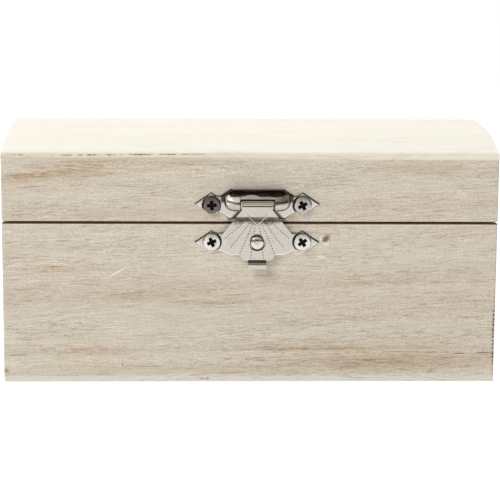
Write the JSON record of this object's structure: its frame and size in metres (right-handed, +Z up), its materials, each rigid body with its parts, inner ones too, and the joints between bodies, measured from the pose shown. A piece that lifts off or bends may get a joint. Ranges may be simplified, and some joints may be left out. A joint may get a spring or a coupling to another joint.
{
  "type": "treasure chest box",
  "caption": "Small plain wooden box with an arched lid on rear hinges and a nickel hasp whose shell-shaped flap closes over a stud.",
  "frame": {"origin": "middle of the underside of the wooden box, on the surface that it stands on", "axes": "+X to the right along the front as seen from in front of it, +Y towards the hinges, +Z up; the hasp is on the -Y face"},
  "size_m": [0.125, 0.0818, 0.0641],
  "materials": {
    "paulownia panel": "bare sanded paulownia, pale grey-tan with fine brown pores",
    "bent top sheet": "bare sanded thin sheet, almost white cream",
    "plywood bottom": "bare thin plywood with a sawn edge",
    "nickel plate": "bright nickel plated pressed steel",
    "screw steel": "bright nickel plated steel, darker in the cross recess",
    "hinge steel": "nickel plated pressed steel"
  },
  "bodies": {
    "base": {"base_front_panel": "paulownia panel", "base_back_panel": "paulownia panel", "base_left_panel": "paulownia panel", "base_right_panel": "paulownia panel", "bottom_plate": "plywood bottom", "catch_plate": "nickel plate", "catch_stud": "nickel plate", "catch_screws": "screw steel", "left_hinge_lower_leaf": "hinge steel", "right_hinge_lower_leaf": "hinge steel", "left_hinge_pin": "hinge steel", "right_hinge_pin": "hinge steel", "hinge_lower_screws": "screw steel"},
    "lid": {"lid_front_panel": "paulownia panel", "lid_back_panel": "paulownia panel", "lid_left_panel": "paulownia panel", "lid_right_panel": "paulownia panel", "lid_top_sheet": "bent top sheet", "hasp_plate": "nickel plate", "hasp_pin": "nickel plate", "hasp_screws": "screw steel", "left_hinge_upper_leaf": "hinge steel", "right_hinge_upper_leaf": "hinge steel", "hinge_upper_screws": "screw steel"},
    "hasp_flap": {"hasp_flap": "nickel plate"}
  },
  "joints": [
    {"name": "lid_hinge", "type": "hinge", "parent": "base", "child": "lid", "pos_m": [0, 0.03875, 0.041], "axis": [-1, 0, 0], "range_deg": [0, 100]},
    {"name": "hasp_hinge", "type": "hinge", "parent": "lid", "child": "hasp_flap", "pos_m": [0.0016, -0.03935, 0.0463], "axis": [-1, 0, 0], "range_deg": [0, 134]}
  ]
}
